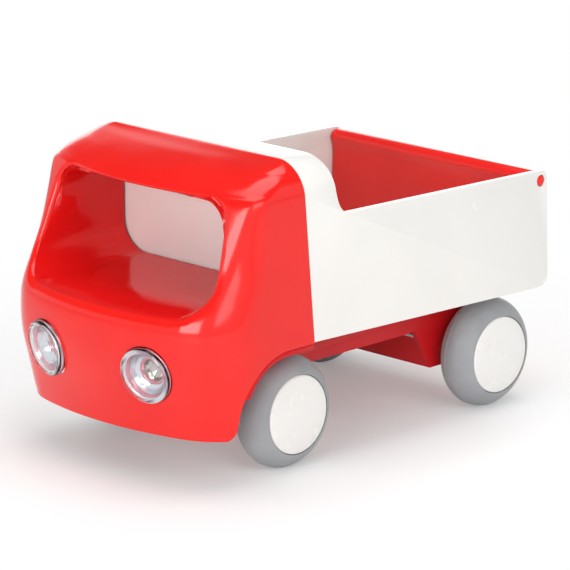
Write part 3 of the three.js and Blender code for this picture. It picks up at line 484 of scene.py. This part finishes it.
bulkhead = bpy.data.objects.new("bulkhead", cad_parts["cab_liner"].data.copy())
bpy.context.scene.collection.objects.link(bulkhead)
all_of(bulkhead)
edit(bulkhead, bpy.ops.mesh.remove_doubles, threshold=0.001 * mm)
tube_room = [windscreen_ring(lambda x, z: nose - 10 * mm, liner_wall + tube_clearance)]
for behind_axle, back in ((-40, 0.3), (-28, 0.5), (-12, 0.8)):
    tube_room.append(windscreen_ring(
        lambda x, z: front_axle.y + behind_axle * mm, liner_wall + tube_clearance, back))
tube_room.append(windscreen_ring(lambda x, z: seam_y(z) - seat_gap, liner_wall + tube_clearance, 1.0))
tube_room.append(windscreen_ring(lambda x, z: seam_y(z) + 10 * mm, liner_wall + tube_clearance, 1.0))
tube_room_tool = ring_stack("tube_room_tool", tube_room)
close_ends(tube_room_tool, len(tube_room[0]))
carve(bulkhead, tube_room_tool)
smooth(bulkhead, 30)
bulkhead.name = bulkhead.data.name = "cab_liner_bulkhead"
liner_red = glossy_abs("liner_red_abs", (0.70, 0.008, 0.008), (0.64, 0.007, 0.007), 0.12)
for piece in (liner, bulkhead):
    piece.data.materials.clear()
    piece.data.materials.append(liner_red)
    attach(piece, "chassis_body")
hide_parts("cab_liner")

# ---- headlamps ----
# A turned-looking clear lens of polished acrylic with a thick rim, in front of a stepped cup in
# vacuum-plated ABS. The pair drops into the shell's round seat from outside and is glued behind.


def turned(name, profile, steps, at):
    """A ring or disc spun about +Z from an outline of (radius, height) points, then put in its place."""
    bpy.ops.object.select_all(action="DESELECT")
    bpy.ops.mesh.primitive_circle_add(vertices=len(profile))
    piece = bpy.context.object
    piece.name = piece.data.name = name
    for vertex, (r, z) in zip(piece.data.vertices, profile):
        vertex.co = (r, 0, z)
    if profile[0][0] == 0 and profile[-1][0] == 0:
        last = len(profile) - 1
        pick(piece, "EDGE", lambda edge: set(edge.vertices) == {0, last})
        edit(piece, bpy.ops.mesh.delete, type="EDGE_FACE")
    all_of(piece)
    edit(piece, bpy.ops.mesh.spin, steps=steps, angle=2 * math.pi, center=(0, 0, 0), axis=(0, 0, 1))
    all_of(piece)
    edit(piece, bpy.ops.mesh.remove_doubles, threshold=0.001 * mm)
    outward(piece)
    piece.data.transform(at)
    return piece


def rounded(profile, radius, steps=4):
    """The same outline with its corners rounded, apart from those on the axis."""
    found = []
    count = len(profile)
    for i, corner in enumerate(profile):
        if corner[0] == 0:
            found.append(corner)
            continue
        before, after, at = (Vector(profile[i - 1]), Vector(profile[(i + 1) % count]), Vector(corner))
        reach = min(radius, 0.45 * (before - at).length, 0.45 * (after - at).length)
        a = at + (before - at).normalized() * reach
        b = at + (after - at).normalized() * reach
        for s in range(steps + 1):
            t = s / steps
            found.append(tuple((1 - t) ** 2 * a + 2 * t * (1 - t) * at + t * t * b))
    return found


lens_profile = [(0, -0.9), (6.5, -1.1), (11.2, -1.7), (12.0, -2.0), (14.3, -2.0), (14.3, -0.7), (13.5, 0.1),
                (12.4, 0.1), (11.9, -0.2), (9.5, 0.25), (5.5, 0.7), (0, 0.9)]
lens_profile = rounded([(r * mm, z * mm) for r, z in lens_profile], 0.45 * mm)
cup_profile = [(0, -14.9), (6, -14.9), (12.8, -7.4), (12.8, -3.9), (14.3, -3.9), (14.3, -2.4), (12.2, -2.4),
               (11.7, -3.0), (10.6, -4.0), (10.2, -5.0), (9.0, -7.2), (7.2, -8.4), (6.9, -7.9), (6.1, -7.9),
               (5.6, -8.6), (4.9, -11.6), (2.2, -12.9), (0, -13.2)]
cup_profile = rounded([(r * mm, z * mm) for r, z in cup_profile], 0.5 * mm)
clear_acrylic = painted("clear_acrylic", (0.96, 0.975, 0.98), 0.02, IOR=1.49, Transmission_Weight=1.0)[0]


def plating(name, colour, roughness, wave):
    """Vacuum plating over moulded ABS, with the colour that the steps and the red seat lend it: the pink on
    the step rings is a painted reflection of the red seat.
    """
    material, tree, shader = painted(name, colour, roughness, Metallic=1.0)
    haze = ramp(tree, noise(tree, 260, 4), 0.4, 0.8, roughness, roughness + 0.09)
    tree.links.new(haze, shader.inputs["Roughness"])
    relief(tree, shader, (noise(tree, 190, 1), wave))
    return material


plated_bowl = plating("plated_bowl", (0.66, 0.70, 0.74), 0.12, 0.02 * mm)
# The step rings' pink is a painted reflection of the red seat, not the plating's own colour.
plated_step_painted_reflection = plating("plated_step_painted_reflection", (0.62, 0.26, 0.31), 0.16, 0.02 * mm)
plated_middle = plating("plated_middle", (0.50, 0.47, 0.45), 0.08, 0.12 * mm)
painted_reflection_rings = ((5.5 * mm, 7.0 * mm), (10.4 * mm, 11.8 * mm), (13.3 * mm, 14.4 * mm))
for label, place in lamps.items():
    lens = turned(f"headlamp_lens_glass_{label}", lens_profile, 72, place)
    smooth(lens, 40)
    lens.data.materials.append(clear_acrylic)
    cup = turned(f"headlamp_cup_{label}", cup_profile, 72, place)
    smooth(cup, 40)
    for finish in (plated_bowl, plated_step_painted_reflection, plated_middle):
        cup.data.materials.append(finish)
    inward = place.inverted()
    for face in cup.data.polygons:
        radius = (inward @ face.center).xy.length
        # Faces on the step rings take the pink plating, a painted reflection of the red seat.
        if any(low <= radius <= high for low, high in painted_reflection_rings):
            face.material_index = 1
        elif radius < painted_reflection_rings[0][0]:
            face.material_index = 2
    for piece, node, finish in ((lens, "headlamp_lens", "clear_lens"),
                                (cup, "headlamp_reflector", "plated_reflector")):
        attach(piece, "chassis_body")
        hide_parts(f"{node}_{label}")

# ---- chassis ----
# The red ABS tray that everything bolts to: an inverted channel between the wheels with a deeper block at
# each axle, thin liners that back up the front wheel arches, and ears at the tail for the bed's hinge.


def bevelled_copy(node, name, width, segments, flat=0.6, angle=28):
    """A copy of a plain solid with its flats made whole again and its edges rounded off."""
    piece = bpy.data.objects.new(name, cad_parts[node].data.copy())
    bpy.context.scene.collection.objects.link(piece)
    piece.data.materials.clear()
    all_of(piece)
    edit(piece, bpy.ops.mesh.remove_doubles, threshold=0.002 * mm)
    all_of(piece)
    edit(piece, bpy.ops.mesh.dissolve_limited, angle_limit=math.radians(flat))
    finish_with(piece, "BEVEL", width=width, segments=segments, limit_method="ANGLE",
                angle_limit=math.radians(angle), use_clamp_overlap=True, harden_normals=False)
    smooth(piece, 34)
    return piece


chassis_red = glossy_abs("chassis_red_abs", (0.58, 0.008, 0.012), (0.53, 0.007, 0.010), 0.3, shine=0.25)
tray = bevelled_copy("chassis", "chassis_tray", 0.5 * mm, 2)
tray.data.materials.append(chassis_red)
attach(tray, "chassis_body")
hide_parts("chassis")

# ---- axle covers ----
# Flat red plates let into the underside of each axle block, which keep the axle in its slot.

for end in ("front", "rear"):
    plate = bevelled_copy(f"{end}_axle_cover", f"{end}_axle_plate", 0.4 * mm, 2)
    plate.data.materials.append(chassis_red)
    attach(plate, "chassis_body")
    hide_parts(f"{end}_axle_cover")

# ---- dump bed ----
# The tipping body in glossy white ABS: floor, leaning sides and a front wall that rises into an arch level
# with the cab's roof. One moulding of even wall, every edge softly broken, with two lugs for its hinge.

bed_white = glossy_abs("bed_white_abs", (0.80, 0.785, 0.755), (0.775, 0.76, 0.73), 0.2)
bed = bevelled_copy("dump_bed", "dump_bed_moulding", 0.9 * mm, 3)
bed.data.materials.append(bed_white)
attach(bed, "bed")
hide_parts("dump_bed")

# ---- tailgate ----
# A red ABS panel that hangs from a thick roll along its top edge and closes the back of the bed. A stub
# pin at each end of the roll runs in the bed's side wall and ends flush outside, as a small red disc.

gate_red = glossy_abs("gate_red_abs", (0.82, 0.016, 0.012), (0.77, 0.014, 0.010), 0.2)
gate_low, gate_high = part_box("tailgate")
roll_r = 4.5 * mm
roll_z = gate_high.z - roll_r
roll_y = gate_high.y - roll_r
panel_front = roll_y - 2.5 * mm
panel_back = roll_y + 0.5 * mm
roll_from, roll_sweep, roll_steps = -80, 258, 28
gate_outline = [(panel_back, gate_low.z), (panel_back, roll_z - roll_r - 0.5 * mm)]
for i in range(roll_steps + 1):
    a = math.radians(roll_from + roll_sweep * i / roll_steps)
    gate_outline.append((roll_y + roll_r * math.cos(a), roll_z + roll_r * math.sin(a)))
start, end_point = Vector(gate_outline[-1]), Vector((panel_front, roll_z - roll_r - 3.4 * mm))
knee = Vector((panel_front, roll_z - roll_r + 0.6 * mm))
for i in range(1, 8):
    t = i / 7
    gate_outline.append(tuple((1 - t) ** 2 * start + 2 * t * (1 - t) * knee + t * t * end_point))
gate_outline.append((panel_front, gate_low.z))


def gate_half(z):
    return side_x(z) - 3.6 * mm


rings = [[Vector((side * gate_half(z), y, z)) for y, z in gate_outline] for side in (-1, 1)]
gate = ring_stack("tailgate_moulding", rings)
close_ends(gate, len(gate_outline))
finish_with(gate, "BEVEL", width=0.7 * mm, segments=3, limit_method="ANGLE", angle_limit=math.radians(50))
smooth(gate, 34)
gate.data.materials.append(gate_red)
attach(gate, "gate")
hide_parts("tailgate")

for label, side in (("left", -1), ("right", 1)):
    pin = bevelled_copy(f"tailgate_pin_{label}", f"tailgate_stub_{label}", 0.2 * mm, 2)
    pin.data.materials.append(gate_red)
    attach(pin, "gate")
    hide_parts(f"tailgate_pin_{label}")

# ---- wheels ----
# Each wheel is a soft grey thermoplastic-rubber tyre, moulded over a white ABS core, with a dished white
# cap glued into its face. The tyre's two mould halves meet in a fine raised line near its inner shoulder.

tyre_grey, tree, shader = painted("tyre_grey_tpr", (0.30, 0.31, 0.325), 0.5, IOR=1.48)
tree.links.new(blend_colours(tree, ramp(tree, noise(tree, 45, 4), 0.35, 0.7), (0.275, 0.285, 0.30),
                             (0.33, 0.34, 0.355)), shader.inputs["Base Color"])
tree.links.new(ramp(tree, noise(tree, 160, 4), 0.35, 0.7, 0.42, 0.6), shader.inputs["Roughness"])
relief(tree, shader, (noise(tree, 1900, 3), 0.03 * mm), (noise(tree, 140, 3), 0.05 * mm))
shader.inputs["Sheen Weight"].default_value = 0.15
cap_white = glossy_abs("cap_white_abs", (0.82, 0.805, 0.78), (0.795, 0.78, 0.755), 0.24)
core_white = glossy_abs("core_white_abs", (0.72, 0.705, 0.68), (0.68, 0.665, 0.64), 0.35)
tyre_half, hub_face = 10.5, 59 * mm
shoulder_steps, parting_step = 14, 12
tyre_profile = [(23.3, -8.5), (21.3, -8.5)]
for i in range(shoulder_steps + 1):
    a = math.pi / 2 * i / shoulder_steps
    r, x = 21.3 + 7.2 * math.sin(a), 9 * (1 - math.cos(a)) - tyre_half
    if i == parting_step:
        tyre_profile += [(r, x - 0.25), (r + 0.16, x - 0.1), (r + 0.16, x + 0.1), (r, x + 0.25)]
    else:
        tyre_profile.append((r, x))
outer = [Vector((28.5, -1.5)), Vector((28.5, 3)), Vector((24.6, 7.8)), Vector((20.3, 9.3))]
for i in range(1, 21):
    t = i / 20
    weights = ((1 - t) ** 3, 3 * t * (1 - t) ** 2, 3 * t * t * (1 - t), t ** 3)
    tyre_profile.append(tuple(sum((w * p for w, p in zip(weights, outer)), Vector((0, 0)))))
tyre_profile += [(20.3, 6.5), (23.3, 6.5)]
cap_profile = [(0, 6.5), (20, 6.5), (20, 9.0), (19.2, 9.75), (17.6, 9.95), (16.7, 10.1), (15, 10.28),
               (10, 10.52), (5, 10.66), (0, 10.7)]
core_profile = [(2.8, -9.5), (6, -9.5), (6, 0.5), (20, 0.5), (20, -7.5), (23, -7.5), (23, 5.5), (20, 5.5),
                (20, 6.2), (2.8, 6.2)]


def facing(side, y, z):
    """Turns a piece spun about +Z so that its face looks outward on that side, at the wheel's place."""
    turn = Matrix.Rotation(side * math.pi / 2, 4, "Y")
    return Matrix.Translation(Vector((side * hub_face, y, z))) @ turn


for end in ("front", "rear"):
    low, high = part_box(f"{end}_axle")
    axle_y, axle_z = (low.y + high.y) / 2, (low.z + high.z) / 2
    for label, side in (("left", -1), ("right", 1)):
        place = facing(side, axle_y, axle_z)
        made = []
        for part, profile, radius, material, finish in (
            ("tyre", tyre_profile, 0.0, tyre_grey, "grey_tyre"),
            ("hub", core_profile, 0.5, core_white, "white_plastic"),
            ("hub_cap", cap_profile, 0.4, cap_white, "white_plastic"),
        ):
            points = [(r * mm, x * mm) for r, x in profile]
            if radius:
                points = rounded(points, radius * mm)
            piece = turned(f"{end}_{label}_{part}_moulding", points, 96, place)
            smooth(piece, 34)
            piece.data.materials.append(material)
            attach(piece, f"{end}_wheelset")
            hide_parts(f"{end}_{label}_{part}")

# ---- steel parts ----
# Ground steel axles and hinge pin, and zinc-plated pan-head screws with a cross recess.

ground_steel, tree, shader = painted("ground_steel", (0.62, 0.63, 0.64), 0.28, Metallic=1.0)
grind = ramp(tree, noise(tree, 900, 3, 0.6, stretch=(0.05, 1, 1)), 0.3, 0.7, 0.2, 0.42)
tree.links.new(grind, shader.inputs["Roughness"])
relief(tree, shader, (noise(tree, 2500, 2, 0.5, stretch=(0.03, 1, 1)), 0.004 * mm))
zinc, tree, shader = painted("zinc_plate", (0.66, 0.67, 0.68), 0.3, Metallic=1.0)
tree.links.new(ramp(tree, noise(tree, 1200, 3), 0.35, 0.7, 0.24, 0.45), shader.inputs["Roughness"])
relief(tree, shader, (noise(tree, 1600, 2), 0.01 * mm))
for node, body in (("front_axle", "front_wheelset"), ("rear_axle", "rear_wheelset"),
                   ("bed_hinge_pin", "chassis_body")):
    rod = bevelled_copy(node, f"{node}_rod", 0.4 * mm, 2)
    rod.data.materials.append(ground_steel)
    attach(rod, body)
    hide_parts(node)

slot_length, slot_width, slot_depth = 3.4, 0.8, 1.6
screw_nodes = [f"cab_screw_{n}" for n in (1, 2, 3, 4)]
screw_nodes += [f"{end}_cover_screw_{label}" for end in ("front", "rear") for label in ("left", "right")]
for node in screw_nodes:
    low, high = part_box(node)
    centre = Vector(((low.x + high.x) / 2, (low.y + high.y) / 2, low.z))
    screw = bevelled_copy(node, f"{node}_fastener", 0.25 * mm, 2)
    for turn in (0, 1):
        bpy.ops.mesh.primitive_cube_add(size=1, location=centre)
        slot_tool = bpy.context.object
        along = (slot_length, slot_width) if turn else (slot_width, slot_length)
        slot_tool.scale = (*along, slot_depth)
        slot_tool.scale *= mm
        bpy.ops.object.transform_apply(location=True, rotation=True, scale=True)
        carve(screw, slot_tool)
    smooth(screw, 34)
    screw.data.materials.append(zinc)
    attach(screw, "chassis_body")
    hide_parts(node)

# ---- studio ----
# A pale floor, a white surround that only the camera and mirror-like surfaces see, and soft lamps.

bpy.ops.object.select_all(action="DESELECT")
bpy.ops.mesh.primitive_plane_add(size=12, location=(0, 0, 0))
floor = bpy.context.object
floor.name = "studio_floor"
floor_paint, tree, shader = painted("floor_paint", (0.9, 0.9, 0.9), 0.6)
shader.inputs["Specular IOR Level"].default_value = 0.1
paper = tree.nodes.new("ShaderNodeEmission")
where = tree.nodes.new("ShaderNodeTexCoord")
reach = tree.nodes.new("ShaderNodeVectorMath")
reach.operation = "LENGTH"
tree.links.new(where.outputs["Object"], reach.inputs[0])
share = ramp(tree, reach.outputs["Value"], 0.13, 0.36, 0.22, 1.0)
path = tree.nodes.new("ShaderNodeLightPath")
only_seen = tree.nodes.new("ShaderNodeMath")
only_seen.operation = "MULTIPLY"
tree.links.new(share, only_seen.inputs[0])
tree.links.new(path.outputs["Is Camera Ray"], only_seen.inputs[1])
faded = tree.nodes.new("ShaderNodeMixShader")
tree.links.new(only_seen.outputs[0], faded.inputs["Fac"])
tree.links.new(shader.outputs[0], faded.inputs[1])
tree.links.new(paper.outputs[0], faded.inputs[2])
tree.links.new(faded.outputs[0], tree.nodes["Material Output"].inputs["Surface"])
floor.data.materials.append(floor_paint)

world = bpy.data.worlds.new("studio")
bpy.context.scene.world = world
world.use_nodes = True
nodes, links = world.node_tree.nodes, world.node_tree.links
back = nodes["Background"]
path = nodes.new("ShaderNodeLightPath")
sky = nodes.new("ShaderNodeBackground")
sky.inputs["Color"].default_value = (1, 1, 1, 1)
sky.inputs["Strength"].default_value = 1.0
back.inputs["Color"].default_value = (1, 1, 1, 1)
back.inputs["Strength"].default_value = 0.5
mirror = nodes.new("ShaderNodeBackground")
mirror.inputs["Strength"].default_value = 1.0
where = nodes.new("ShaderNodeTexCoord")
split = nodes.new("ShaderNodeSeparateXYZ")
links.new(where.outputs["Generated"], split.inputs[0])
band = nodes.new("ShaderNodeMapRange")
for key, number in (("From Min", 0.40), ("From Max", 0.46), ("To Min", 0.9), ("To Max", 0.12)):
    band.inputs[key].default_value = number
links.new(split.outputs["Z"], band.inputs["Value"])
links.new(band.outputs["Result"], mirror.inputs["Color"])
shown = nodes.new("ShaderNodeMixShader")
seen = nodes.new("ShaderNodeMixShader")
either = nodes.new("ShaderNodeMath")
either.operation = "MAXIMUM"
links.new(path.outputs["Is Camera Ray"], either.inputs[0])
links.new(path.outputs["Is Transmission Ray"], either.inputs[1])
links.new(path.outputs["Is Glossy Ray"], shown.inputs["Fac"])
links.new(back.outputs[0], shown.inputs[1])
links.new(mirror.outputs[0], shown.inputs[2])
links.new(either.outputs[0], seen.inputs["Fac"])
links.new(shown.outputs[0], seen.inputs[1])
links.new(sky.outputs[0], seen.inputs[2])
links.new(seen.outputs[0], nodes["World Output"].inputs["Surface"])


def softbox(name, place, target, width, height, power):
    """A soft rectangular lamp that looks at its target."""
    light = bpy.data.lights.new(name, "AREA")
    light.shape = "RECTANGLE"
    light.size, light.size_y = width, height
    light.energy = power
    lamp = bpy.data.objects.new(name, light)
    bpy.context.scene.collection.objects.link(lamp)
    lamp.location = place
    lamp.rotation_mode = "QUATERNION"
    lamp.rotation_quaternion = (Vector(target) - Vector(place)).to_track_quat("-Z", "Y")


softbox("overhead", (0.0, 0.1, 1.3), (0, 0.05, 0.05), 0.9, 1.0, 8)
softbox("key", (1.5, -0.5, 0.9), (0, 0, 0.08), 1.2, 1.1, 11)
softbox("nose_fill", (0.45, -1.7, 0.5), (0, -0.1, 0.1), 1.0, 0.6, 13)
softbox("rim", (-1.6, 1.6, 0.5), (0, 0, 0.15), 1.9, 0.75, 6)

camera_data = bpy.data.cameras.new("camera")
camera_data.lens = 262.4
camera_data.sensor_width = 36
camera = bpy.data.objects.new("camera", camera_data)
bpy.context.scene.collection.objects.link(camera)
right, up, behind = (0.7160, 0.6981, 0), (-0.1814, 0.1860, 0.9656), (0.6741, -0.6914, 0.2598)
turn = Matrix((right, up, behind)).transposed().to_4x4()
camera.matrix_world = Matrix.Translation((1.4240, -1.4501, 0.6186)) @ turn
camera_data.clip_end = 50
bpy.context.scene.camera = camera
bpy.context.scene.view_settings.view_transform = "Standard"
